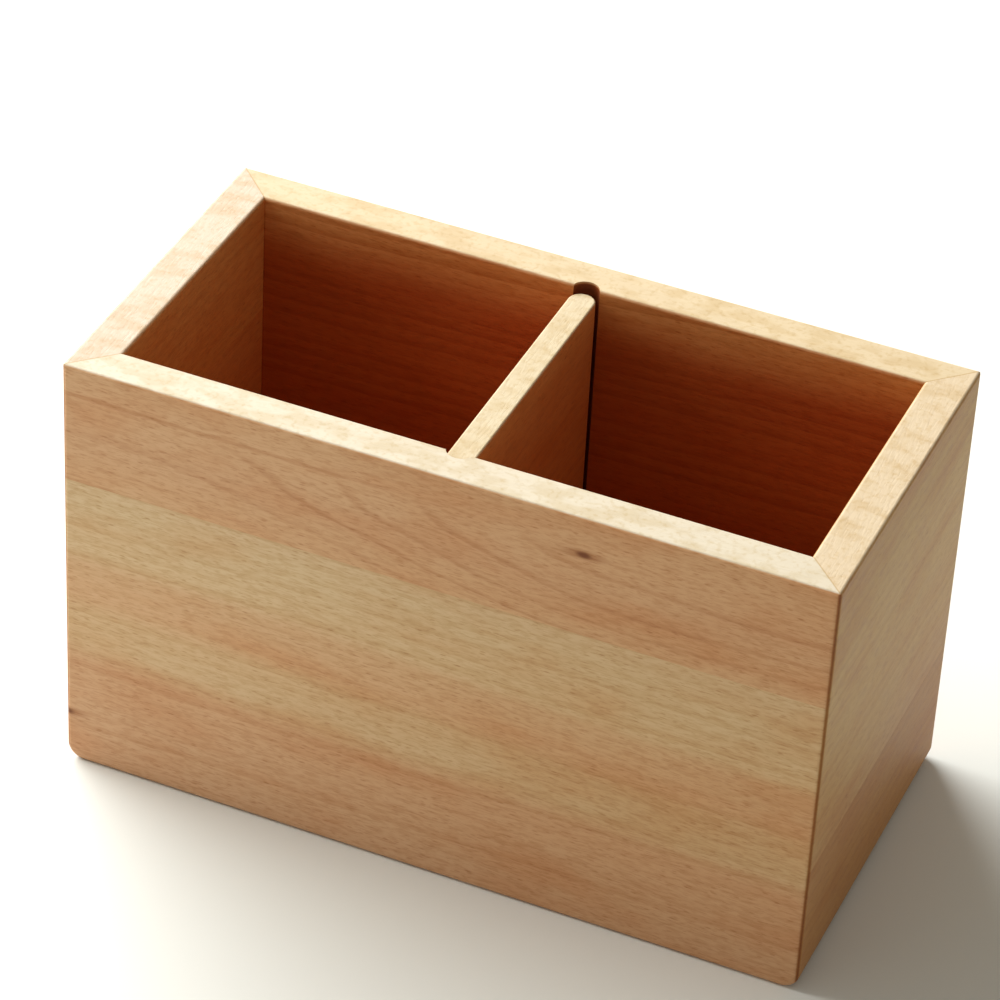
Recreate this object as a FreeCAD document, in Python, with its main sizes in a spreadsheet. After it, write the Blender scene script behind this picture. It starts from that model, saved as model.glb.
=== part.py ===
# Two-compartment pen stand in solid beech.
#
# Four walls, each glued up from two staves, are mitred at the corners around
# a captured base board. A loose tongue strengthens every mitre. A divider
# drops into round-bottomed grooves in the front and back walls and lifts out.
#
# Frame: millimetres, +Z up, origin at the centre of the footprint. +X runs
# along the stand to the right, and the front wall faces -Y.

import FreeCAD, Part
import math
import os
import Sketcher

doc = FreeCAD.newDocument("PenStand")

# ---------------------------------------------------------------------------
# Driving sizes
# ---------------------------------------------------------------------------

SIZES = (
    ("box_length", 180.0, "outside, left to right"),
    ("box_depth", 90.0, "outside, front to back"),
    ("wall_height", 110.0, "table to rim"),
    ("wall_thickness", 10.0, "all four walls"),
    ("corner_radius", 1.2, "easing of the upright corners and the lower long edges"),
    ("foot_radius", 4.0, "rounding of the lower short edges, the feet seen from the front"),
    ("rim_radius", 0.8, "easing of both rim edges"),
    ("high_joint", 79.6, "glue line of the front and left walls, above the table"),
    ("low_joint", 34.1, "glue line of the right and back walls, above the table"),
    ("base_thickness", 6.0, "base board"),
    ("base_lift", 3.0, "underside of the base board above the table"),
    ("base_tongue", 3.6, "how far the base board reaches into each wall"),
    ("base_groove_depth", 4.0, "groove that holds the base board"),
    ("base_play", 0.2, "room above the base board in its groove"),
    ("divider_thickness", 6.4, "divider board"),
    ("divider_drop", 1.8, "divider's top below the rim"),
    ("divider_easing", 0.5, "rounding of the divider's top edges"),
    ("divider_clearance", 0.1, "room around the divider's ends in the grooves"),
    ("divider_back_reach", 0.3, "how far the divider reaches into the back wall"),
    ("divider_groove_depth", 2.5, "upright grooves in the front and back walls"),
    ("tongue_thickness", 3.0, "loose tongue in each mitre"),
    ("tongue_width", 8.0, "loose tongue, across the mitre"),
    ("tongue_height", 82.0, "loose tongue, upright"),
    ("tongue_foot", 13.0, "foot of the tongues above the table"),
    ("tongue_inset", 5.0, "tongue from the inner corner, along the mitre"),
    ("tongue_glue", 0.05, "glue film around each tongue"),
    ("cut_overrun", 5.0, "how far a cutter runs past the board"),
)

sheet = doc.addObject("Spreadsheet::Sheet", "Size")
for row, (alias, value, note) in enumerate(SIZES, start=1):
    sheet.set(f"A{row}", alias)
    sheet.set(f"B{row}", str(value))
    sheet.set(f"C{row}", note)
    sheet.setAlias(f"B{row}", alias)
doc.recompute()

# Expressions that more than one piece uses
INNER_LENGTH = "(Size.box_length - 2 * Size.wall_thickness)"
INNER_DEPTH = "(Size.box_depth - 2 * Size.wall_thickness)"
BASE_TOP = "(Size.base_lift + Size.base_thickness)"
GROOVE_RADIUS = "(Size.divider_thickness / 2 + Size.divider_clearance)"

# Points closer than this are the same point
TOUCH = 1e-4

# ---------------------------------------------------------------------------
# Helpers
# ---------------------------------------------------------------------------


def bind(thing, **expressions):
    """Tie properties to the sheet. A double underscore stands for a dot."""
    for name, expression in expressions.items():
        thing.setExpression(name.replace("__", "."), expression)


def new_sketch(body, role, name):
    """A sketch on one of the body's own origin planes."""
    plane = next(part for part in body.Origin.OriginFeatures if part.Role == role)
    sketch = body.newObject("Sketcher::SketchObject", name)
    sketch.AttachmentSupport = [(plane, "")]
    sketch.MapMode = "FlatFace"
    return sketch


def tie_point(sketch, line, end, across, up):
    """Fix one point of a sketch by two expressions, measured from the axes.

    Each distance starts as the point is drawn, so that the sketch keeps its form.
    """
    drawn = sketch.getPoint(line, end)
    for kind, axis, expression, start in (
        ("DistanceX", -2, across, drawn.x),
        ("DistanceY", -1, up, drawn.y),
    ):
        if expression == "0":
            sketch.addConstraint(Sketcher.Constraint("PointOnObject", line, end, axis))
        else:
            index = sketch.addConstraint(Sketcher.Constraint(kind, -1, 1, line, end, start))
            sketch.setExpression(f"Constraints[{index}]", expression)


def draw_polygon(sketch, corners):
    """A closed outline of straight lines, each corner tied to the sheet."""
    first = sketch.GeometryCount
    spots = [FreeCAD.Vector(step, step * step, 0) for step in range(1, len(corners) + 1)]
    for start, finish in zip(spots, spots[1:] + spots[:1]):
        sketch.addGeometry(Part.LineSegment(start, finish))
    last = sketch.GeometryCount - 1
    for line in range(first, last + 1):
        following = line + 1 if line < last else first
        sketch.addConstraint(Sketcher.Constraint("Coincident", line, 2, following, 1))
    for line, (across, up) in enumerate(corners, start=first):
        tie_point(sketch, line, 1, across, up)


def draw_centred_rectangle(sketch, long, wide):
    """A rectangle centred on the sketch's origin."""
    draw_polygon(sketch, (
        (f"-{long} / 2", f"-{wide} / 2"),
        (f"{long} / 2", f"-{wide} / 2"),
        (f"{long} / 2", f"{wide} / 2"),
        (f"-{long} / 2", f"{wide} / 2"),
    ))


def edge_names(shape, wanted):
    """Names of the edges that pass the test."""
    return [f"Edge{number}" for number, edge in enumerate(shape.Edges, start=1) if wanted(edge)]


def at_height(height):
    return lambda edge: all(abs(point.Z - height) < TOUCH for point in edge.Vertexes)


def upright(edge):
    low, high = edge.Vertexes
    return abs(low.X - high.X) < TOUCH and abs(low.Y - high.Y) < TOUCH


def round_edges(body, name, wanted, radius):
    """Round the edges of the body's last feature that pass the test."""
    doc.recompute()
    last = body.Tip
    fillet = body.newObject("PartDesign::Fillet", name)
    fillet.Base = (last, edge_names(last.Shape, wanted))
    bind(fillet, Radius=radius)
    return fillet


def pocket_through(body, sketch, name):
    """Cut the sketch right through the body, both ways, and check that it cut."""
    doc.recompute()
    before = body.Shape.Volume
    pocket = body.newObject("PartDesign::Pocket", name)
    pocket.Profile = sketch
    pocket.Type = "ThroughAll"
    pocket.Midplane = True
    doc.recompute()
    if not body.Shape.Volume < before:
        raise RuntimeError(f"{name} cuts nothing")
    return pocket


def block(name, long, wide, tall):
    """A board standing on its own XY plane, centred on the upright axis."""
    body = doc.addObject("PartDesign::Body", name)
    plan = new_sketch(body, "XY_Plane", f"{name}_plan")
    draw_centred_rectangle(plan, long, wide)
    board = body.newObject("PartDesign::Pad", f"{name}_board")
    board.Profile = plan
    bind(board, Length=tall)
    return body


def boolean(kind, name, base, tool):
    """A Part::Cut or Part::Common of two objects."""
    result = doc.addObject(kind, name)
    result.Base = base
    result.Tool = tool
    return result


def node(thing, label):
    """Mark a finished sub-part: its label names its file."""
    thing.Label = label
    nodes.append(thing)


nodes = []

# ---------------------------------------------------------------------------
# Walls
# ---------------------------------------------------------------------------

# A wall is shaped lying along its own X axis, with its outer face on y = 0
# and its inner face on y = wall_thickness.

# Cross-section: a plain board with the groove that holds the base board
WALL_SECTION = (
    ("0", "0"),
    ("Size.wall_thickness", "0"),
    ("Size.wall_thickness", "Size.base_lift"),
    ("Size.wall_thickness - Size.base_groove_depth", "Size.base_lift"),
    ("Size.wall_thickness - Size.base_groove_depth", f"{BASE_TOP} + Size.base_play"),
    ("Size.wall_thickness", f"{BASE_TOP} + Size.base_play"),
    ("Size.wall_thickness", "Size.wall_height"),
    ("0", "Size.wall_height"),
)


def cut_mitres(body, name, length):
    """Cut both ends at 45 degrees, through the outer corners of the box."""
    ends = new_sketch(body, "XY_Plane", f"{name}_ends")
    inner = "Size.wall_thickness + Size.cut_overrun"
    for side in ("", "-"):
        draw_polygon(ends, (
            (f"{side}({length} / 2 + Size.cut_overrun)", "-Size.cut_overrun"),
            (f"{side}({length} / 2 + Size.cut_overrun)", inner),
            (f"{side}({length} / 2 - Size.wall_thickness - Size.cut_overrun)", inner),
        ))
    pocket_through(body, ends, f"{name}_mitres")


def cut_divider_groove(body, name):
    """Plough the round-bottomed groove for the divider across the inner face."""
    plan = new_sketch(body, "XY_Plane", f"{name}_groove_plan")
    plan.addGeometry(Part.Circle(FreeCAD.Vector(0, 1, 0), FreeCAD.Vector(0, 0, 1), 1))
    tie_point(plan, 0, 3, "0", f"Size.wall_thickness - Size.divider_groove_depth + {GROOVE_RADIUS}")
    index = plan.addConstraint(Sketcher.Constraint("Radius", 0, 1.0))
    plan.setExpression(f"Constraints[{index}]", GROOVE_RADIUS)
    pocket_through(body, plan, f"{name}_groove")


def make_wall(name, length, grooved):
    """One glued-up board: section, eased rim, mitres and divider groove."""
    body = doc.addObject("PartDesign::Body", name)
    section = new_sketch(body, "YZ_Plane", f"{name}_section")
    draw_polygon(section, WALL_SECTION)
    board = body.newObject("PartDesign::Pad", f"{name}_board")
    board.Profile = section
    board.Midplane = True
    bind(board, Length=length)

    def along_rim(edge):
        return at_height(sheet.wall_height)(edge) and abs(edge.BoundBox.YLength) < TOUCH

    round_edges(body, f"{name}_rim", along_rim, "Size.rim_radius")
    cut_mitres(body, name, length)
    if grooved:
        cut_divider_groove(body, name)
    return body




def lower_short(edge):
    """The lower edges that run from front to back."""
    return at_height(0)(edge) and abs(edge.BoundBox.XLength) < TOUCH


# The outside of the whole box. Once its feet are round, each upright corner
# runs on smoothly along the lower long edge, so one easing goes round them all.
box_outline = block("box_outline", "Size.box_length", "Size.box_depth", "Size.wall_height")
round_edges(box_outline, "round_feet", lower_short, "Size.foot_radius")
round_edges(box_outline, "eased_outline", upright, "Size.corner_radius")

# ---------------------------------------------------------------------------
# Loose tongues in the mitres, and the slots that they fill
# ---------------------------------------------------------------------------

TONGUE_OUT = "Size.tongue_inset / sqrt(2)"


def place_in_corner(body, right, back, foot):
    """Stand a block across the mitre at one corner of the box."""
    along = 1 if right else -1
    across = 1 if back else -1
    body.Placement.Rotation = FreeCAD.Rotation(FreeCAD.Vector(0, 0, 1), -45 * along * across)
    bind(
        body,
        Placement__Base__x=f"{along} * ({INNER_LENGTH} / 2 + {TONGUE_OUT})",
        Placement__Base__y=f"{across} * ({INNER_DEPTH} / 2 + {TONGUE_OUT})",
        Placement__Base__z=foot,
    )


CORNERS = (
    ("front_left", False, False),
    ("front_right", True, False),
    ("back_right", True, True),
    ("back_left", False, True),
)

slots = []
for corner, right, back in CORNERS:
    tongue = block(f"tongue_{corner}", "Size.tongue_width", "Size.tongue_thickness",
                   "Size.tongue_height")
    place_in_corner(tongue, right, back, "Size.tongue_foot")
    node(tongue, f"tongue_{corner}")
    slot = block(f"slot_{corner}", "(Size.tongue_width + 2 * Size.tongue_glue)",
                 "(Size.tongue_thickness + 2 * Size.tongue_glue)",
                 "Size.tongue_height + 2 * Size.tongue_glue")
    place_in_corner(slot, right, back, "Size.tongue_foot - Size.tongue_glue")
    slots.append(slot)

tongue_slots = doc.addObject("Part::MultiFuse", "tongue_slots")
tongue_slots.Shapes = slots

# ---------------------------------------------------------------------------
# Staves: each wall parted at its glue line
# ---------------------------------------------------------------------------


def stave_slab(name, joint):
    """Everything from the table up to a glue line."""
    slab = block(name, "(Size.box_length + 2 * Size.cut_overrun)",
                 "(Size.box_depth + 2 * Size.cut_overrun)", joint)
    return slab


below_high_joint = stave_slab("below_high_joint", "Size.high_joint")
below_low_joint = stave_slab("below_low_joint", "Size.low_joint")

# Name, length, quarter turns, offsets of the outer face, divider groove, slab
WALLS = (
    ("front", "Size.box_length", 0, "0", "-Size.box_depth / 2", True, below_high_joint),
    ("right", "Size.box_depth", 1, "Size.box_length / 2", "0", False, below_low_joint),
    ("back", "Size.box_length", 2, "0", "Size.box_depth / 2", True, below_low_joint),
    ("left", "Size.box_depth", 3, "-Size.box_length / 2", "0", False, below_high_joint),
)

for name, length, turns, out_x, out_y, grooved, slab in WALLS:
    wall = make_wall(f"{name}_wall", length, grooved)
    wall.Placement.Rotation = FreeCAD.Rotation(FreeCAD.Vector(0, 0, 1), 90 * turns)
    bind(wall, Placement__Base__x=out_x, Placement__Base__y=out_y)
    rounded = boolean("Part::Common", f"{name}_rounded", wall, box_outline)
    slotted = boolean("Part::Cut", f"{name}_slotted", rounded, tongue_slots)
    node(boolean("Part::Common", f"{name}_lower", slotted, slab), f"{name}_wall_lower_stave")
    node(boolean("Part::Cut", f"{name}_upper", slotted, slab), f"{name}_wall_upper_stave")

# ---------------------------------------------------------------------------
# Base board
# ---------------------------------------------------------------------------

base = block("base_board", f"({INNER_LENGTH} + 2 * Size.base_tongue)",
             f"({INNER_DEPTH} + 2 * Size.base_tongue)", "Size.base_thickness")
bind(base, Placement__Base__z="Size.base_lift")
node(base, "base_board")

# ---------------------------------------------------------------------------
# Divider: a board with rounded ends that stands on the base board
# ---------------------------------------------------------------------------

# The centres of its rounded ends, front and back, from the middle of the box
END_RADIUS = "Size.divider_thickness / 2"
FRONT_CENTRE = f"-({INNER_DEPTH} / 2 + Size.divider_groove_depth - {GROOVE_RADIUS})"
BACK_CENTRE = f"{INNER_DEPTH} / 2 + Size.divider_back_reach - {END_RADIUS}"

divider = doc.addObject("PartDesign::Body", "divider_body")
plan = new_sketch(divider, "XY_Plane", "divider_plan")
half = sheet.divider_thickness / 2
front = -sheet.box_depth / 2
back = -front
up = FreeCAD.Vector(0, 0, 1)
back_end = Part.Circle(FreeCAD.Vector(0, back, 0), up, half)
front_end = Part.Circle(FreeCAD.Vector(0, front, 0), up, half)
plan.addGeometry(Part.LineSegment(FreeCAD.Vector(half, front, 0), FreeCAD.Vector(half, back, 0)))
plan.addGeometry(Part.ArcOfCircle(back_end, 0, math.pi))
plan.addGeometry(Part.LineSegment(FreeCAD.Vector(-half, back, 0), FreeCAD.Vector(-half, front, 0)))
plan.addGeometry(Part.ArcOfCircle(front_end, math.pi, 2 * math.pi))
for line, following in ((0, 1), (1, 2), (2, 3), (3, 0)):
    plan.addConstraint(Sketcher.Constraint("Tangent", line, 2, following, 1))
plan.addConstraint(Sketcher.Constraint("Equal", 1, 3))
tie_point(plan, 1, 3, "0", BACK_CENTRE)
tie_point(plan, 3, 3, "0", FRONT_CENTRE)
radius = plan.addConstraint(Sketcher.Constraint("Radius", 1, half))
plan.setExpression(f"Constraints[{radius}]", END_RADIUS)

board = divider.newObject("PartDesign::Pad", "divider_board")
board.Profile = plan
bind(board, Length=f"Size.wall_height - Size.divider_drop - {BASE_TOP}")
doc.recompute()
top = at_height(board.Shape.BoundBox.ZMax)
round_edges(divider, "divider_top", top, "Size.divider_easing")
bind(divider, Placement__Base__z=BASE_TOP)
node(divider, "divider")

# ---------------------------------------------------------------------------
# Checks, then one STEP file for each sub-part
# ---------------------------------------------------------------------------

doc.recompute()
for thing in doc.Objects:
    if "Invalid" in thing.State or "Error" in thing.State:
        raise RuntimeError(f"{thing.Name} did not recompute: {thing.State}")
    if thing.TypeId == "Sketcher::SketchObject" and not thing.FullyConstrained:
        raise RuntimeError(f"{thing.Name} is not fully constrained")
for thing in nodes:
    if thing.Shape.isNull() or not thing.Shape.isValid() or len(thing.Shape.Solids) != 1:
        raise RuntimeError(f"{thing.Label} is not one valid solid")

os.makedirs("parts", exist_ok=True)
for thing in nodes:
    thing.Shape.exportStep(os.path.join("parts", f"{thing.Label}.step"))
    box = thing.Shape.optimalBoundingBox(False)
    print(f"{thing.Label:26s} {thing.Shape.Volume / 1000:8.2f} cm3  "
          f"z {box.ZMin:7.2f} to {box.ZMax:7.2f}")
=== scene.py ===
# %% [markdown]
# # A beech pen stand
#
# This lesson dresses a small desk object: an open box of solid beech with four mitred walls and
# one divider that lifts out. The boards themselves come from the CAD model and keep their exact
# shape. What is made here is everything that turns grey solids into oiled wood: the camera, the
# light, and a material for every board, because no two boards of a real box are alike.

# %% Load the boards
import math

import bpy
from mathutils import Matrix, Vector


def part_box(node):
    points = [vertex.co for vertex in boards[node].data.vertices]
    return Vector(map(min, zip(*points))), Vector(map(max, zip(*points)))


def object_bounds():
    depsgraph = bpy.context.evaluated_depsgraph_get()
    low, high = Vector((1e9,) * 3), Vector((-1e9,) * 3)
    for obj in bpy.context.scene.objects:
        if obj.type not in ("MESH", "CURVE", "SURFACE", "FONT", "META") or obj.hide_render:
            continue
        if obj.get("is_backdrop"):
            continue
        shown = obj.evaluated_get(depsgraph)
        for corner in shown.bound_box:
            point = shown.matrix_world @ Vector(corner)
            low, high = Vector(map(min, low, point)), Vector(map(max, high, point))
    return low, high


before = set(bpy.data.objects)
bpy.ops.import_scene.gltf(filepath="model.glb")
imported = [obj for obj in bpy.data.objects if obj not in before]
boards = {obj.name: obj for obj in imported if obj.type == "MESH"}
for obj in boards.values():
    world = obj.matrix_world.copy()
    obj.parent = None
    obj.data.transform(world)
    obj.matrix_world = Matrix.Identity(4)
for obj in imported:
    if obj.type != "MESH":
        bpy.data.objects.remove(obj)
cad_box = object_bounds()
bpy.ops.object.select_all(action="DESELECT")
print(len(boards), "boards in a box from", cad_box[0], "to", cad_box[1])

# %% [markdown]
# ## The camera
#
# The stand is seen from above its front right corner with a long lens, so its edges stay almost
# parallel. A camera could be aimed with a constraint, but three plain turns say more: how far it
# walks round the stand, how steeply it looks down, and how much it leans.

# %% Camera
FOCAL_LENGTH = 164.0
SENSOR = 36.0
CAMERA_PLACE = (0.2972, -0.7594, 0.6772)
WALK_ROUND = 21.64
LOOK_DOWN = 36.5
LEAN = 3.23

camera_data = bpy.data.cameras.new("camera")
camera_data.lens = FOCAL_LENGTH
camera_data.sensor_width = SENSOR
camera = bpy.data.objects.new("camera", camera_data)
camera.matrix_world = (
    Matrix.Translation(CAMERA_PLACE)
    @ Matrix.Rotation(math.radians(WALK_ROUND), 4, "Z")
    @ Matrix.Rotation(math.radians(90 - LOOK_DOWN), 4, "X")
    @ Matrix.Rotation(math.radians(LEAN), 4, "Z")
)
bpy.context.scene.collection.objects.link(camera)
bpy.context.scene.camera = camera
bpy.context.scene.view_settings.view_transform = "Standard"
print("camera stands", round(Vector(CAMERA_PLACE).length, 3), "m from the stand")

# %% [markdown]
# ## A helper for nodes
#
# A material is a small network, and building one by hand means the same three steps over and
# over: add a node, set it up, link it. One helper does all three. An input that is given a socket
# is linked, and one that is given a value is set. Colours are chosen as they look on a screen, so
# they are written as hex values and turned into the linear numbers that the renderer works in.


# %% Nodes and colours
def add(tree, kind, inputs=None, **settings):
    """Add a node, set its own settings, then link or set its inputs."""
    node = tree.nodes.new(kind)
    for name, value in settings.items():
        setattr(node, name, value)
    for socket, value in (inputs or {}).items():
        if isinstance(value, bpy.types.NodeSocket):
            tree.links.new(value, node.inputs[socket])
        else:
            node.inputs[socket].default_value = value
    return node


def linear(hex_colour):
    """An sRGB hex colour as linear red, green, blue and alpha."""
    channels = [int(hex_colour[i:i + 2], 16) / 255 for i in (1, 3, 5)]
    return [c / 12.92 if c <= 0.04045 else ((c + 0.055) / 1.055) ** 2.4 for c in channels] + [1.0]


def new_material(name):
    """An empty node material."""
    material = bpy.data.materials.new(name)
    material.use_nodes = True
    material.node_tree.nodes.clear()
    return material


print("a pale beech in linear light:", [round(c, 3) for c in linear("#D9B48A")])

# %% [markdown]
# ## The table top
#
# The stand is on a table with a matt white finish. It could be a studio sweep, but a plain flat
# top is enough here, because it only has to catch the shadow and throw soft light back at the
# two shaded walls.

# %% Table
TABLE_SIZE = 12.0
TABLE_PAINT = "#E2E4DE"
TABLE_ROUGHNESS = 0.9
TABLE_SHINE = 0.2

bpy.ops.mesh.primitive_plane_add(size=TABLE_SIZE)
table = bpy.context.object
table.name = "table"
table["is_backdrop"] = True

paint = new_material("matt_white_table")
tree = paint.node_tree
matt = add(tree, "ShaderNodeBsdfPrincipled", {
    "Base Color": linear(TABLE_PAINT),
    "Roughness": TABLE_ROUGHNESS,
    "Specular IOR Level": TABLE_SHINE,
})
add(tree, "ShaderNodeOutputMaterial", {"Surface": matt.outputs[0]})
table.data.materials.append(paint)
print("the table is", TABLE_SIZE, "m wide, in", paint.name)

# %% [markdown]
# ## The window
#
# A large window is to the left of the stand and a little behind it. The rim is in its light, and
# the two walls that face the camera are in shade. A sun lamp would draw a hard shadow, so the
# window is one large area lamp, which gives a shadow with soft edges. It is placed by two turns
# and a distance. A lamp shines along its own -Z, so its +Z is pointed away from the stand.

# %% Window
WINDOW_WIDTH = 1.8
WINDOW_HEIGHT = 0.8
WINDOW_DISTANCE = 1.6
WINDOW_TURN = 158.0
WINDOW_RISE = 37.0
WINDOW_POWER = 62.0

window_data = bpy.data.lights.new("window", "AREA")
window_data.shape = "RECTANGLE"
window_data.size = WINDOW_WIDTH
window_data.size_y = WINDOW_HEIGHT
window_data.energy = WINDOW_POWER
window = bpy.data.objects.new("window", window_data)
turn = math.radians(WINDOW_TURN)
rise = math.radians(WINDOW_RISE)
towards_window = Vector((
    math.cos(turn) * math.cos(rise), math.sin(turn) * math.cos(rise), math.sin(rise),
))
window.location = towards_window * WINDOW_DISTANCE
window.rotation_euler = towards_window.to_track_quat("Z", "Y").to_euler()
bpy.context.scene.collection.objects.link(window)
print("window at", [round(c, 2) for c in window.location])

# %% [markdown]
# ## The room
#
# The rest of the room is a dim warm world that is brighter towards the front left, so that the
# front wall is a little brighter than the right one. A picture of a room could do the same, but
# two brightnesses are easier to set. Rays that come straight from the camera, or by a mirror-like
# bounce, see plain white instead: the background is clean, and the dim room still lights the wood.

# %% Room
ROOM_DARK = 0.18
ROOM_BRIGHT = 0.5
TOWARDS_BRIGHT = (-0.7, -0.7, 0.1)
ROOM_COLOUR = "#FFF8EC"
BACKGROUND = "#FFFFFF"

room = bpy.data.worlds.new("room")
room.use_nodes = True
room.node_tree.nodes.clear()
tree = room.node_tree
ray = add(tree, "ShaderNodeLightPath")
direct = add(tree, "ShaderNodeMath", {
    0: ray.outputs["Is Camera Ray"], 1: ray.outputs["Is Glossy Ray"],
}, operation="MAXIMUM")
seen = add(tree, "ShaderNodeMath", {
    0: direct.outputs[0], 1: ray.outputs["Is Transmission Ray"],
}, operation="MAXIMUM")
place = add(tree, "ShaderNodeTexCoord")
side = add(tree, "ShaderNodeVectorMath", {0: place.outputs["Generated"], 1: TOWARDS_BRIGHT},
           operation="DOT_PRODUCT")
level = add(tree, "ShaderNodeMapRange", {
    "Value": side.outputs["Value"], "From Min": -1.0, "From Max": 1.0,
    "To Min": ROOM_DARK, "To Max": ROOM_BRIGHT,
})
dim = add(tree, "ShaderNodeBackground", {
    "Color": linear(ROOM_COLOUR), "Strength": level.outputs["Result"],
})
white = add(tree, "ShaderNodeBackground", {"Color": linear(BACKGROUND), "Strength": 1.0})
light = add(tree, "ShaderNodeMixShader", {
    0: seen.outputs[0], 1: dim.outputs[0], 2: white.outputs[0],
})
add(tree, "ShaderNodeOutputWorld", {"Surface": light.outputs[0]})
bpy.context.scene.world = room
print("the room is", ROOM_DARK, "to", ROOM_BRIGHT, "bright")

# %% [markdown]
# ## Board space
#
# Every pattern below is measured in millimetres: along the grain, up the face, and through the
# board. The CAD model is in metres, and the grain of the side walls runs from front to back, so
# a mapping node scales the object's own coordinates and turns them. A flat image could be wrapped
# round each board instead, but a pattern that fills the solid runs over every edge the way real
# grain does, and real lengths keep the figure at its true size.


# %% Board space
ALONG_X = (-90, 0, 0)
ALONG_Y = (-90, -90, 0)
LYING = (0, 0, 0)
MM_IN_A_METRE = 1000


def board_space(tree, turn):
    """Millimetres along the grain, up the face and through the board."""
    place = add(tree, "ShaderNodeTexCoord")
    return add(tree, "ShaderNodeMapping", {
        "Vector": place.outputs["Object"],
        "Rotation": [math.radians(angle) for angle in turn],
        "Scale": (MM_IN_A_METRE, MM_IN_A_METRE, MM_IN_A_METRE),
    }).outputs["Vector"]


print("grain turns:", {"along x": ALONG_X, "along y": ALONG_Y, "lying": LYING})

# %% [markdown]
# ## Cells of pattern
#
# Wood is drawn out along its grain, so each pattern is made of cells that are longer than they
# are tall. The scale of a texture node is the same in every direction and can't do that, so the
# space is divided by the size of a real cell before the texture reads it. Every board also steps
# to its own place in the pattern. The steps are not round numbers, so that no two boards fall on
# the same piece of it.


# %% Cells of pattern
SEED_STEP = (7.3, 3.1, 5.7)


def stretched(tree, space, cell, seed):
    """The same space counted in cells of pattern: so many mm long, tall and deep."""
    return add(tree, "ShaderNodeMapping", {
        "Vector": space,
        "Location": [seed * step for step in SEED_STEP],
        "Scale": [1 / size for size in cell],
    }).outputs["Vector"]


print("a board with the next seed is", SEED_STEP, "cells further on")

# %% [markdown]
# ## Masks and stains
#
# A mask is 1 where a mark lies and 0 where it doesn't. Marks could be painted by hand on each
# board, but then they would be lost with the next change of size. So each mark is a test of
# position with a soft edge, kept only where all its tests agree. The colour under it is multiplied
# by a stain, which leaves the grain to show through, as a real stain does.


# %% Masks and stains
def soft_edge(tree, value, start, full, edge=0.0):
    """0 before the start, 1 once it is full, and smooth between them, both counted from an edge."""
    return add(tree, "ShaderNodeMapRange", {
        "Value": value, "From Min": edge + start, "From Max": edge + full,
    }, interpolation_type="SMOOTHSTEP").outputs["Result"]


def where_all(tree, mask, *others):
    """Masks multiplied: 1 only where every one of them is."""
    for other in others:
        mask = add(tree, "ShaderNodeMath", {0: mask, 1: other}, operation="MULTIPLY").outputs[0]
    return mask


def stained(tree, colour, mask, stain):
    """Multiply a colour by a stain where the mask is 1."""
    # A mix of colours has its mask at input 0, its colours at 6 and 7, and its result at 2.
    return add(tree, "ShaderNodeMix", {0: mask, 6: colour, 7: linear(stain)},
               data_type="RGBA", blend_type="MULTIPLY").outputs[2]


print("a mark is made in three moves: soft_edge, where_all and stained")

# %% [markdown]
# ## How the tree grew
#
# Three slow things make one beech board different from the next. The first is that the trunk
# wandered a little as it grew, so nothing in it is quite straight. Every later pattern could bend
# by itself, but then they would cross. It is the space that is pushed about, and the bands, rings
# and streaks are all drawn in it, so they bend together.


# %% Wander
WANDER_CELL = (110, 20, 20)
WANDER_RANGE = 5.0


def wander(tree, space, seed):
    """Push the space about by up to 1.5 mm, as no trunk grows quite straight."""
    # The noise keeps near the middle of its range, so its ends are never reached.
    noise = add(tree, "ShaderNodeTexNoise", {
        "Vector": stretched(tree, space, WANDER_CELL, seed), "Scale": 1.0, "Detail": 3.0,
    })
    push = add(tree, "ShaderNodeVectorMath", {
        0: noise.outputs["Color"],
        1: (0, WANDER_RANGE, WANDER_RANGE),
        2: (0, -WANDER_RANGE / 2, -WANDER_RANGE / 2),
    }, operation="MULTIPLY_ADD")
    return add(tree, "ShaderNodeVectorMath", {0: space, 1: push.outputs[0]},
               operation="ADD").outputs[0]


print("the grain bends once in about", WANDER_CELL[0], "mm")

# %% [markdown]
# ## Year rings
#
# The second is that each year ended with a thin darker ring, and a saw that cuts the rings at a
# slant leaves arches on the face. Arches could be drawn one by one, but the rings here are true
# circles round a pith that lies outside the board, which gives believable arches for less work.
# Some years are strong and some weak, so each ring has a strength of its own.


# %% Year rings
# Shares of a year: where its late wood is darkest, and how sharply that ends.
LATE_WOOD_FULL = 0.9
YEAR_END = (1.0, 0.92)
# This starts below 0, so that even the weakest year shows.
WEAK_TO_STRONG = (-0.3, 1.0)


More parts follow.
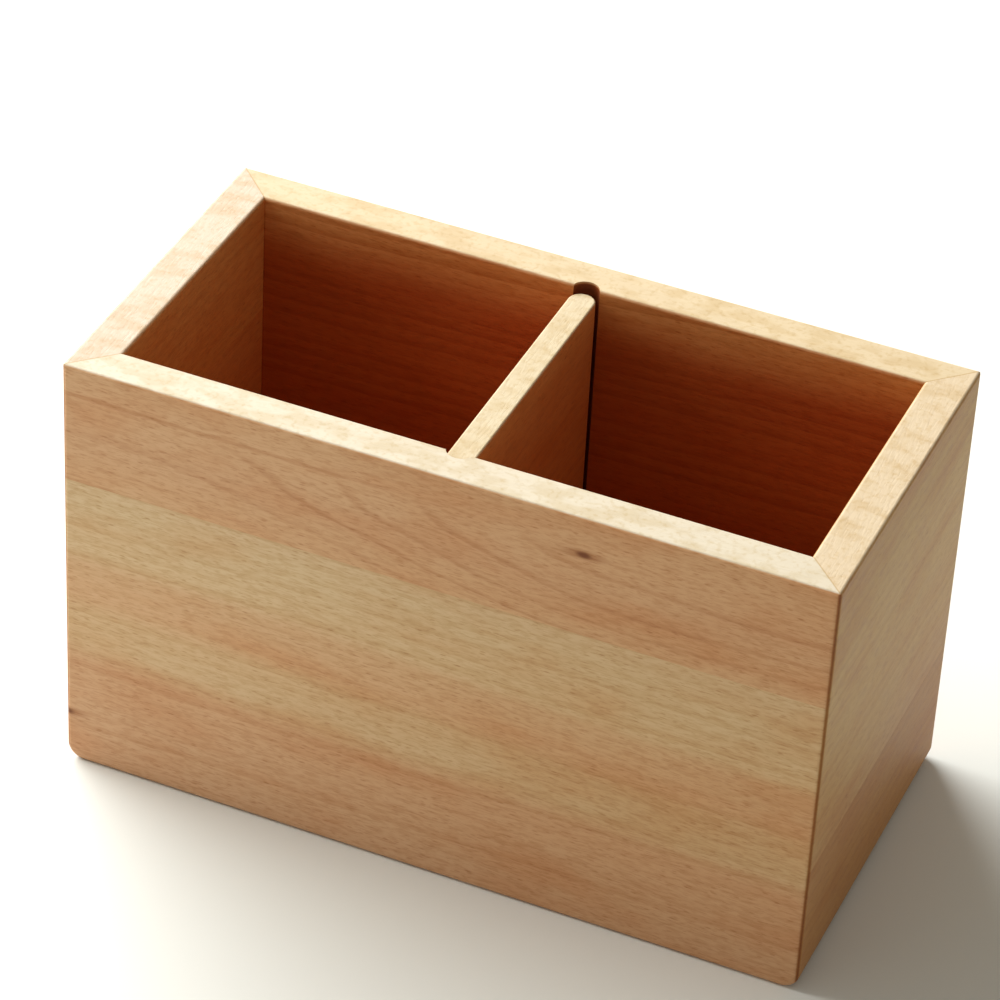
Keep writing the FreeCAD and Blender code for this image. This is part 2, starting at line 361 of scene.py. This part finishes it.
def growth_rings(tree, space, pith, arch, year, late):
    """The dark end of each year's growth, 0 to 1.

    The pith is (height, depth) in mm. The arch is (start, end, mm): how far the pith comes
    nearer to the face, and over which stretch of the board. A year is so many mm thick, and
    the late share of it is where the wood begins to darken.
    """
    height, depth = pith
    arch_start, arch_end, closer = arch
    along = add(tree, "ShaderNodeSeparateXYZ", {0: space}).outputs[0]
    from_pith = add(tree, "ShaderNodeVectorMath", {
        0: space, 1: (0, 1, 1), 2: (0, -height, -depth),
    }, operation="MULTIPLY_ADD")
    nearer = add(tree, "ShaderNodeVectorMath", {
        0: soft_edge(tree, along, arch_start, arch_end),
        1: (0, 0, -closer),
        2: from_pith.outputs[0],
    }, operation="MULTIPLY_ADD")
    radius = add(tree, "ShaderNodeVectorMath", {0: nearer.outputs[0]}, operation="LENGTH")
    years = add(tree, "ShaderNodeMath", {0: radius.outputs["Value"], 1: year}, operation="DIVIDE")
    age = add(tree, "ShaderNodeMath", {0: years.outputs[0]}, operation="FRACT").outputs[0]
    which = add(tree, "ShaderNodeMath", {0: years.outputs[0]}, operation="FLOOR").outputs[0]
    strength = add(tree, "ShaderNodeTexWhiteNoise", {"W": which}, noise_dimensions="1D")
    return where_all(
        tree,
        soft_edge(tree, age, late, LATE_WOOD_FULL),
        soft_edge(tree, age, *YEAR_END),
        soft_edge(tree, strength.outputs["Value"], *WEAK_TO_STRONG),
    )


print("the late wood is darkest at", LATE_WOOD_FULL, "of a year")

# %% [markdown]
# ## Arches that stop
#
# On the front wall the arches end under a fine straight ring, which runs near the rim on the left.
# A second set of rings could be laid over the first, but it is enough to fade the arches out at
# that height and to add the one ring.


# %% Arches that stop
ARCH_FADE = (0.5, -5)
FINE_RING = (0.8, 0.1)
FINE_RING_STRETCH = (10, -45)


def under_edge(tree, space, rings, edge):
    """End the arches under a height in mm, with one fine straight ring along it."""
    place = add(tree, "ShaderNodeSeparateXYZ", {0: space})
    along, height = place.outputs[0], place.outputs[1]
    below = where_all(tree, rings, soft_edge(tree, height, *ARCH_FADE, edge=edge))
    off = add(tree, "ShaderNodeMath", {0: height, 1: edge}, operation="SUBTRACT")
    gap = add(tree, "ShaderNodeMath", {0: off.outputs[0]}, operation="ABSOLUTE").outputs[0]
    line = where_all(tree, soft_edge(tree, gap, *FINE_RING),
                     soft_edge(tree, along, *FINE_RING_STRETCH))
    return add(tree, "ShaderNodeMath", {0: below, 1: line}, operation="MAXIMUM").outputs[0]


print("arches fade out over", ARCH_FADE[0] - ARCH_FADE[1], "mm")

# %% [markdown]
# ## Bands of colour
#
# The third is that the wood drifts between pale straw and salmon pink in broad bands. A noise
# would put such bands anywhere, and a ramp puts them at the heights where this board has them. A
# small drift tilts them, because a saw never follows the grain exactly.


# %% Bands of colour
def height_bands(tree, space, stops, drift):
    """Colours at heights in mm, drifting uphill by so many mm for each mm along the board."""
    height = add(tree, "ShaderNodeVectorMath", {0: space, 1: (-drift, 1, 0)},
                 operation="DOT_PRODUCT")
    low, high = stops[0][0], stops[-1][0]
    share = add(tree, "ShaderNodeMapRange", {
        "Value": height.outputs["Value"], "From Min": low, "From Max": high,
    })
    ramp = add(tree, "ShaderNodeValToRGB", {"Fac": share.outputs["Result"]})
    ramp.color_ramp.interpolation = "EASE"
    marks = ramp.color_ramp.elements
    marks[0].color = linear(stops[0][1])
    marks[1].color = linear(stops[-1][1])
    for at, colour in stops[1:-1]:
        marks.new((at - low) / (high - low)).color = linear(colour)
    return ramp.outputs["Color"]


print("how the tree grew: wander, rings and bands of colour")

# %% [markdown]
# ## Ray flecks
#
# Close up, beech is known by its flecks: short brown dashes, one to two millimetres long, where
# the rays of the tree come out at the surface. A noise would give blots of every size, and the
# flecks are much alike, so they are cells of a stretched Voronoi pattern. Only about half of the
# cells get one, because an even scatter looks printed.


# %% Ray flecks
FLECK_CELL = (3.0, 0.8, 0.8)
FLECK_EDGE = (0.34, 0.12)
# Each cell draws a number from 0 to 1, and below the first of these it gets no fleck.
FLECK_LUCK = (0.45, 0.9)
FLECK_STAIN = "#ECDFD0"


def flecks(tree, space, seed):
    """Ray flecks: brown dashes in about half of the cells."""
    cells = add(tree, "ShaderNodeTexVoronoi", {
        "Vector": stretched(tree, space, FLECK_CELL, seed), "Scale": 1.0, "Randomness": 1.0,
    })
    luck = add(tree, "ShaderNodeSeparateXYZ", {0: cells.outputs["Color"]}).outputs[0]
    return where_all(tree, soft_edge(tree, cells.outputs["Distance"], *FLECK_EDGE),
                     soft_edge(tree, luck, *FLECK_LUCK))


print("flecks are about", round(FLECK_CELL[0] * sum(FLECK_EDGE), 1), "mm long")

# %% [markdown]
# ## Streaks, clouds and pores
#
# Between the flecks lie soft streaks of grain, cloudy patches, and pores finer than a hair. Each
# could have its own kind of texture, but they differ mostly in size, so one noise serves all
# three. Real pores are too fine to see at arm's length, and they are drawn a quarter of a
# millimetre wide to show.


# %% Streaks, clouds and pores
CLOUD = {"cell": (35, 12, 12), "start": 0.4, "full": 0.7}
STREAK = {"cell": (3.6, 0.7, 0.7), "start": 0.38, "full": 0.72, "swirl": 0.4}
PORE = {"cell": (2.2, 0.25, 0.25), "start": 0.55, "full": 0.7, "detail": 2.0}
CLOUD_STAIN = "#F8EBDF"
STREAK_STAIN = "#F1E7DA"
PORE_STAIN = "#EFE4D7"


def grain_noise(tree, space, seed, cell, start, full, detail=3.0, swirl=0.0):
    """A stretched noise, read as a mask between two of its levels."""
    texture = add(tree, "ShaderNodeTexNoise", {
        "Vector": stretched(tree, space, cell, seed), "Scale": 1.0, "Detail": detail,
        "Distortion": swirl,
    })
    return soft_edge(tree, texture.outputs["Fac"], start, full)


print("clouds, streaks and pores in mm:", [pattern["cell"] for pattern in (CLOUD, STREAK, PORE)])

# %% [markdown]
# ## What the box does to the wood
#
# Some marks belong to a place on the box and not to a board. Their masks use millimetres in the
# box's own directions: the height above the table, and how far a point is from the middle of the
# box, along it and across it. Each wall could have masks of its own, but the box is the same on
# both sides of its middle, so a distance without its sign makes one mark serve for two walls.


# %% Places on the box
HALF_LENGTH, HALF_DEPTH, RIM_HEIGHT = (side * MM_IN_A_METRE for side in cad_box[1])
DIVIDER_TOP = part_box("divider")[1][2] * MM_IN_A_METRE
WALL = 10.0


def box_places(tree):
    """The box's own space, the height in it, and the distances along and across the box."""
    box = board_space(tree, LYING)
    height = add(tree, "ShaderNodeSeparateXYZ", {0: box}).outputs[2]
    away = add(tree, "ShaderNodeVectorMath", {0: box}, operation="ABSOLUTE")
    across = add(tree, "ShaderNodeSeparateXYZ", {0: away.outputs[0]})
    return box, height, across.outputs[0], across.outputs[1]


print("rim at", RIM_HEIGHT, "mm, divider's top at", round(DIVIDER_TOP, 1), "mm")

# %% [markdown]
# ## The sanded rim and its painted sheen
#
# The rim was sanded last and is the palest part, with fine specks where end grain comes near. Its
# pale colour is partly that sanding and partly painted sheen, the glare of the window on the top
# edges. It could have a material of its own, but a board is one solid, and a mask that starts a
# third of a millimetre below the top gives the same clean line. Each soft edge is written as (where
# the mark starts, where it is full), in mm from the edge that it follows.


# %% The sanded rim and its painted sheen
# The rim colours are paler than the wood: partly from sanding, partly painted sheen of the window.
RIM_COLOUR = "#D3C2A3"
RIM_STAIN = "#F2EBDC"
RIM_COVER = 0.85
RIM_EDGE = (-0.3, -0.02)
RIM_SPECK = {"cell": (1.3, 1.3, 1.3), "start": 0.48, "full": 0.75, "detail": 2.0}
RIM_CLOUD = {"cell": (7, 4, 4), "start": 0.4, "full": 0.65, "detail": 2.0}


def sanded_rim_and_sheen(tree, colour, box, height, top, rim_colour, seed):
    """Cover the top of a board with the colour of its rim, sanded pale and with painted sheen,
    specked and a little cloudy.
    """
    rim = where_all(tree, soft_edge(tree, height, *RIM_EDGE, edge=top), RIM_COVER)
    colour = add(tree, "ShaderNodeMix", {0: rim, 6: colour, 7: linear(rim_colour)},
                 data_type="RGBA").outputs[2]
    for pattern in (RIM_SPECK, RIM_CLOUD):
        patches = grain_noise(tree, box, seed, **pattern)
        colour = stained(tree, colour, where_all(tree, rim, patches), RIM_STAIN)
    return colour


print("the rim's colour covers", RIM_COVER, "of the wood's own")

# %% [markdown]
# ## The inside, darkened with painted shade
#
# The inner faces are darkened and reddened with painted shade, more so further down, and the
# divider's grooves are given the most painted shade of all. The inner faces could have a material
# of their own, but each wall is one solid, so a mask finds them by their place. Much of the deep
# brown that is seen there isn't painted: it is light that has gone from wall to wall and lost some
# blue at
# each. Each board has its own depth shade: the share of the deepening painted shade that its inner
# face is given.


# %% The inside, darkened with painted shade
GROOVE_HALF = 3.4
GROOVE_DEPTH = 2.5
# Painted shade: the inner faces, their lower part most, and the grooves are darkened for the shade
# of the hollow box.
INSIDE_PAINTED_SHADE = "#FFE2B6"
DEPTH_PAINTED_SHADE = "#CD8B5A"
GROOVE_PAINTED_SHADE = "#9A7458"
INNER_FACE_EDGE = (0.6, 0.1)
INSIDE_TOP = (-0.2, -0.8)
DEEPENS = (-1.5, -16)
GROOVE_SIDE = (0.3, 0)
GROOVE_MOUTH = (0, 0.3)
GROOVE_BOTTOM = (1, 0.5)


def painted_inside_shade(tree, colour, height, wide, deep, top, depth_shade):
    """Paint shade on the inner faces, deeper towards the bottom, and most of all in the grooves."""
    side_face = HALF_LENGTH - WALL
    long_face = HALF_DEPTH - WALL
    within = where_all(tree, soft_edge(tree, wide, *INNER_FACE_EDGE, edge=side_face),
                       soft_edge(tree, deep, *INNER_FACE_EDGE, edge=long_face))
    groove = where_all(
        tree,
        soft_edge(tree, wide, *GROOVE_SIDE, edge=GROOVE_HALF),
        soft_edge(tree, deep, *GROOVE_MOUTH, edge=long_face),
        soft_edge(tree, deep, *GROOVE_BOTTOM, edge=long_face + GROOVE_DEPTH),
    )
    hollow = add(tree, "ShaderNodeMath", {0: within, 1: groove}, operation="MAXIMUM").outputs[0]
    inside = where_all(tree, hollow, soft_edge(tree, height, *INSIDE_TOP, edge=top))
    # Painted shade on the inside: darker further down, and darkest in the grooves.
    colour = stained(tree, colour, inside, INSIDE_PAINTED_SHADE)
    deeper = where_all(tree, soft_edge(tree, height, *DEEPENS, edge=RIM_HEIGHT), depth_shade)
    colour = stained(tree, colour, where_all(tree, inside, deeper), DEPTH_PAINTED_SHADE)
    return stained(tree, colour, where_all(tree, inside, groove), GROOVE_PAINTED_SHADE)


# The grooves' darker colour is painted shade.
print("the grooves are stained", 2 * GROOVE_HALF, "mm wide and", GROOVE_DEPTH, "mm deep")

# %% [markdown]
# ## The mitres
#
# Glue left a thin darker line in every mitre. It could be modelled as a slab of glue, but a mask
# where the two walls meet is enough: a mitre is where a point is as far from one outer face as
# from the other. A real line is about a tenth of a millimetre wide, and it is drawn a little wider
# to show. Down the outer corner it is drawn wider still and browner.


# %% The mitres
GLUE_LINE = "#E8DCC6"
CORNER_LINE = "#C8A56E"
GLUE_EDGE = (0.35, 0.1)
CORNER_EDGE = (0.9, 0.3)
CORNER_SKIN = (-1, -0.4)
CORNER_TOP = (-0.1, -0.5)


def mitre_glue(tree, colour, height, wide, deep):
    """The glue line of each mitre, and the browner line down each outer corner."""
    reach = add(tree, "ShaderNodeMath", {0: wide, 1: deep}, operation="SUBTRACT")
    mitre = add(tree, "ShaderNodeMath", {0: reach.outputs[0], 1: HALF_LENGTH - HALF_DEPTH},
                operation="SUBTRACT")
    gap = add(tree, "ShaderNodeMath", {0: mitre.outputs[0]}, operation="ABSOLUTE").outputs[0]
    colour = stained(tree, colour, soft_edge(tree, gap, *GLUE_EDGE), GLUE_LINE)
    corner = where_all(
        tree,
        soft_edge(tree, gap, *CORNER_EDGE),
        soft_edge(tree, wide, *CORNER_SKIN, edge=HALF_LENGTH),
        soft_edge(tree, height, *CORNER_TOP, edge=RIM_HEIGHT),
    )
    return stained(tree, colour, corner, CORNER_LINE)


print("the mitres run where along less across is", HALF_LENGTH - HALF_DEPTH, "mm")

# %% [markdown]
# ## Pin knots
#
# A pin knot is what is left of a twig that the trunk grew over. A knot could be left to chance in
# a noise, but there are only two on this box, and each is put at its own spot. It is two blots,
# one in the other, each stretched along the grain.


# %% Pin knots
# A stain, and half of its size along the grain, up the face and through the board, in mm.
KNOT_HALO = ("#DBC6B0", (6.0, 1.5, 6))
KNOT_CORE = ("#A8824C", (2.1, 0.95, 4))
KNOT_EDGE = (1.2, 0.3)


def pin_knot(tree, colour, space, spot):
    """A knot no bigger than a match head: a dark core in a long reddish halo."""
    for stain, half_size in (KNOT_HALO, KNOT_CORE):
        place = add(tree, "ShaderNodeVectorMath", {0: space, 1: spot}, operation="SUBTRACT")
        scaled = add(tree, "ShaderNodeVectorMath", {0: place.outputs[0], 1: half_size},
                     operation="DIVIDE")
        far = add(tree, "ShaderNodeVectorMath", {0: scaled.outputs[0]}, operation="LENGTH")
        colour = stained(tree, colour, soft_edge(tree, far.outputs["Value"], *KNOT_EDGE), stain)
    return colour


core = [round(half * sum(KNOT_EDGE), 1) for half in KNOT_CORE[1]]
print("a knot's core is about", core[0], "mm long and", core[1], "mm tall")

# %% [markdown]
# ## The colour of a plank
#
# Now the parts come together, the slowest first: bands of colour, year rings, and clouds. The
# boards of the front wall are also given painted light: paler at their left end, nearer the window,
# and darkened by a painted shade towards the other. Every plank could be told everything, but then
# its own character would be lost among numbers that are all the same. So it is told only what is
# its own, and takes the rest from the usual values here.


# %% The colour of a plank
NO_ARCH = (0, 100, 0)
LATE_WOOD_STAIN = "#F6EFE6"
# Painted shade that darkens a board away from its lit end.
PAINTED_FALLOFF_SHADE = "#F8F3EC"


def plank_colour(tree, space, grown, stops, seed, pith, year, arch=NO_ARCH, late=0.3,
                 late_wood=LATE_WOOD_STAIN, edge=None, drift=0.0, pale_end=None):
    """Bands of colour, year rings and clouds.

    Stops, drift, pith, arch, year, late and edge are as in the functions above, and late_wood is
    the stain of the rings. The painted light end is (where the painted shade starts, where it is
    full), in mm.
    """
    colour = height_bands(tree, grown, stops, drift)
    # Painted light: the board is paler at one end, and a painted shade deepens it along its length.
    if pale_end:
        along = add(tree, "ShaderNodeSeparateXYZ", {0: space}).outputs[0]
        colour = stained(tree, colour, soft_edge(tree, along, *pale_end), PAINTED_FALLOFF_SHADE)
    rings = growth_rings(tree, grown, pith, arch, year, late)
    if edge:
        rings = under_edge(tree, grown, rings, edge)
    colour = stained(tree, colour, rings, late_wood)
    return stained(tree, colour, grain_noise(tree, space, seed + 1, **CLOUD), CLOUD_STAIN)


print("the usual late wood is stained", LATE_WOOD_STAIN)

# %% [markdown]
# ## The satin of oil
#
# An oiled surface is satin. Its roughness sits near one half and is a little less on the streaks,
# and there is no clear coat over it, as there would be on a lacquered box. Pores and streaks are
# also a slight relief, which breaks up the shine. It could be cut into the mesh, but it is only
# some hundredths of a millimetre deep, so a bump is enough.


# %% The satin of oil
ROUGH_WOOD = 0.56
ROUGH_STREAK = 0.48
OIL_SHINE = 0.35
PORE_SHARE = 0.6
RELIEF_STRENGTH = 0.35
RELIEF_DEPTH = 0.00006


def satin_oil(tree, colour, streak, pore):
    """The surface of sanded and oiled wood over a colour."""
    rough = add(tree, "ShaderNodeMapRange", {
        "Value": streak, "To Min": ROUGH_WOOD, "To Max": ROUGH_STREAK,
    })
    hollow = add(tree, "ShaderNodeMath", {0: pore, 1: PORE_SHARE, 2: streak},
                 operation="MULTIPLY_ADD")
    relief = add(tree, "ShaderNodeBump", {
        "Height": hollow.outputs[0], "Strength": RELIEF_STRENGTH, "Distance": RELIEF_DEPTH,
    }, invert=True)
    wood = add(tree, "ShaderNodeBsdfPrincipled", {
        "Base Color": colour,
        "Roughness": rough.outputs["Result"],
        "Specular IOR Level": OIL_SHINE,
        "Normal": relief.outputs[0],
    })
    add(tree, "ShaderNodeOutputMaterial", {"Surface": wood.outputs[0]})


print("the relief is scaled to", round(RELIEF_DEPTH * MM_IN_A_METRE, 2), "mm")

# %% [markdown]
# ## One recipe for beech
#
# Each board gets its own call with its own colours, pith and seed, so boards cut from different
# planks look it. One material for the whole box would be shorter, but then a band would run
# straight through a glue line from one board into the next. The marks of the box come last: the
# rim, sanded last of all and given painted sheen, the painted shade inside, and the glue lines.


# %% The recipe
def oiled_beech(name, turn, stops, seed, top=RIM_HEIGHT, rim=RIM_COLOUR, depth_shade=1.0, knot=None,
                **growth):
    """Sanded and oiled beech for one board: growth is whatever else plank_colour is told."""
    material = new_material(name)
    tree = material.node_tree
    space = board_space(tree, turn)
    grown = wander(tree, space, seed)
    streak = grain_noise(tree, grown, seed + 2, **STREAK)
    pore = grain_noise(tree, space, seed + 3, **PORE)

    colour = plank_colour(tree, space, grown, stops, seed, **growth)
    colour = stained(tree, colour, streak, STREAK_STAIN)
    colour = stained(tree, colour, flecks(tree, space, seed + 4), FLECK_STAIN)
    colour = stained(tree, colour, pore, PORE_STAIN)
    if knot:
        colour = pin_knot(tree, colour, space, knot)

    box, height, wide, deep = box_places(tree)
    # The rim is given its painted sheen, and the inside its painted shade.
    colour = sanded_rim_and_sheen(tree, colour, box, height, top, rim, seed + 5)
    colour = painted_inside_shade(tree, colour, height, wide, deep, top, depth_shade)
    colour = mitre_glue(tree, colour, height, wide, deep)
    satin_oil(tree, colour, streak, pore)
    return material


def finish(board, material):
    """Give a board its finish, in the slot that the CAD model left."""
    mesh = boards[board].data
    mesh.materials.clear()
    mesh.materials.append(material)
    print(board, "is finished in", material.name, "with", len(material.node_tree.nodes), "nodes")


print("one recipe for", len(boards), "boards")

# %% [markdown]
# ## The front wall
#
# Two staves are glued edge to edge, and they came from different trees. They could be one wide
# board, but a box this tall is glued up from narrower ones, and the two colours show it. The upper
# one is pinker and was sawn at a slant, so its year rings make arches that open to the right, with
# one pin knot under the rim. The lower one was sawn straight, and shows level bands of straw and
# salmon, with a second dark speck of a knot on its left edge. Both are given painted light: paler
# at their left end, nearer the window, and a painted shade towards the right.

# %% Front wall
finish("front_wall_upper_stave", oiled_beech(
    "oiled_beech_front_upper", ALONG_X, [
        (79, "#D9B085"), (84, "#D5A87C"), (92, "#D5A97F"), (101, "#D6AA7F"), (110, "#D5A97D"),
    ],
    seed=1, pith=(102.8, 11.8), arch=(-80, 50, 11.3), year=2.92, late=0.7, late_wood="#EFE3D6",
    edge=102.8, pale_end=(-60, 60), rim="#D0CAB4", depth_shade=0.5, knot=(33.3, 100.7, 45),
))
finish("front_wall_lower_stave", oiled_beech(
    "oiled_beech_front_lower", ALONG_X, [
        (0, "#D2A67F"), (10, "#D2A77F"), (26, "#D4A77D"), (34, "#D9B98D"), (41, "#D9B78A"),
        (48, "#DAB084"), (55, "#D9B185"), (60, "#DCBE92"), (72, "#DBBF94"), (80, "#D9BB91"),
    ],
    seed=6, pith=(260, 80), year=4.0, drift=-0.02, pale_end=(-60, 60), depth_shade=0.5,
    knot=(-89.8, 13.6, 45),
))

# %% [markdown]
# ## The right wall
#
# The right wall is in the deepest shade. It shows a broad, plain stave above and a browner one
# below. The shade could be left to make them brown, but these two staves are browner in
# themselves too, so their own colours are darker than those of the front wall.

# %% Right wall
finish("right_wall_upper_stave", oiled_beech(
    "oiled_beech_right_upper", ALONG_Y, [
        (34, "#C79D6B"), (55, "#CAA36A"), (80, "#C9A469"), (100, "#C0995B"), (110, "#BA8E50"),
    ],
    seed=11, pith=(200, 40), year=3.5, drift=0.05, depth_shade=0.5,
))
finish("right_wall_lower_stave", oiled_beech(
    "oiled_beech_right_lower", ALONG_Y, [(0, "#B38047"), (12, "#B7844C"), (34, "#BC8D5A")],
    seed=16, pith=(-60, 60), year=3.2, depth_shade=0.5,
))

# %% [markdown]
# ## The left wall
#
# It is cut from paler planks than the right wall, with its glue line at the height of the front
# wall's. Its inner face could have the full painted shade too, but it is turned away from the
# window and gets only what the room and the other walls give. The full painted shade would make it
# nearly black there, so its upper stave has almost none.

# %% Left wall
finish("left_wall_upper_stave", oiled_beech(
    "oiled_beech_left_upper", ALONG_Y, [(80, "#CDA676"), (95, "#CAA172"), (110, "#CBA374")],
    seed=21, pith=(180, -30), year=3.0, rim="#CDBCA6", depth_shade=0.1,
))
finish("left_wall_lower_stave", oiled_beech(
    "oiled_beech_left_lower", ALONG_Y, [
        (0, "#C9986D"), (20, "#CB9C70"), (40, "#D2AC7D"), (60, "#D0A274"), (80, "#D3AE80"),
    ],
    seed=26, pith=(170, -50), year=3.6, depth_shade=0.4,
))

# %% [markdown]
# ## The back wall
#
# It is made as the right wall is, with a low glue line and one broad stave above it, whose inner
# face is what one sees when looking into the box. It could be plain, because it is dark in there,
# but the lit side of the divider throws back enough light to show soft, broad year rings.

# %% Back wall
finish("back_wall_upper_stave", oiled_beech(
    "oiled_beech_back_upper", ALONG_X, [
        (34, "#C89468"), (50, "#CB996C"), (70, "#CD9E70"), (90, "#C9986B"), (110, "#CFA377"),
    ],
    seed=31, pith=(190, -10), arch=(-80, 80, 12), year=3.4, late=0.1, late_wood="#EADBC9",
    drift=0.01, rim="#CFBF9B", depth_shade=0.9,
))
finish("back_wall_lower_stave", oiled_beech(
    "oiled_beech_back_lower", ALONG_X, [(0, "#C59066"), (16, "#C8966A"), (34, "#CB9C70")],
    seed=36, pith=(-50, -80), year=3.4,
))

# %% [markdown]
# ## The divider and the base board
#
# The divider is a thin board with rounded ends, and its top has been sanded like the rim, at its
# own height. The base board lies flat, so its space isn't turned: the figure runs along the length
# of the box, and the bands of colour follow each other from front to back. Little of it is seen
# past the walls, and a plain brown would do, but the same recipe costs nothing more.

# %% Divider and base board
finish("divider", oiled_beech(
    "oiled_beech_divider", ALONG_Y, [(0, "#C8966A"), (60, "#CB9C70"), (110, "#CFA275")],
    seed=41, pith=(140, 50), year=2.8, top=DIVIDER_TOP, rim="#CCC09F", depth_shade=0.4,
))
finish("base_board", oiled_beech(
    "oiled_beech_base", LYING, [
        (-45, "#CB9C70"), (-10, "#CFA477"), (20, "#C9986C"), (45, "#CDA074"),
    ],
    seed=46, pith=(20, -70), year=3.0, depth_shade=0.6,
))

# %% [markdown]
# ## The tongues
#
# A loose tongue is hidden in each mitre and seen only by whoever takes the box apart, but it is
# beech too. It could be left grey, but then the box would be wrong as soon as it is opened. The
# four are cut from one raw strip, so they share one material, and the recipe for oiled wood does
# for it, because finely sanded beech is nearly as satin before the oil as after it.

# %% Tongues
tongue_strip = oiled_beech(
    "raw_beech_tongue", ALONG_X, [(0, "#D2AC80"), (60, "#CFA579"), (110, "#D2AC80")],
    seed=51, pith=(150, 70), year=2.6,
)
for corner in ("front_left", "front_right", "back_right", "back_left"):
    finish(f"tongue_{corner}", tongue_strip)

# %% [markdown]
# ## Sizes
#
# Dressing the box must not change its size. Its outline could be checked by eye, but here the
# dressed box is measured and its size printed, as the bare model's box was when it was loaded.

# %% Sizes
visual_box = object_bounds()
dressed_size = Vector(visual_box[1]) - Vector(visual_box[0])
print("the dressed box measures", [round(side, 3) for side in dressed_size], "m")
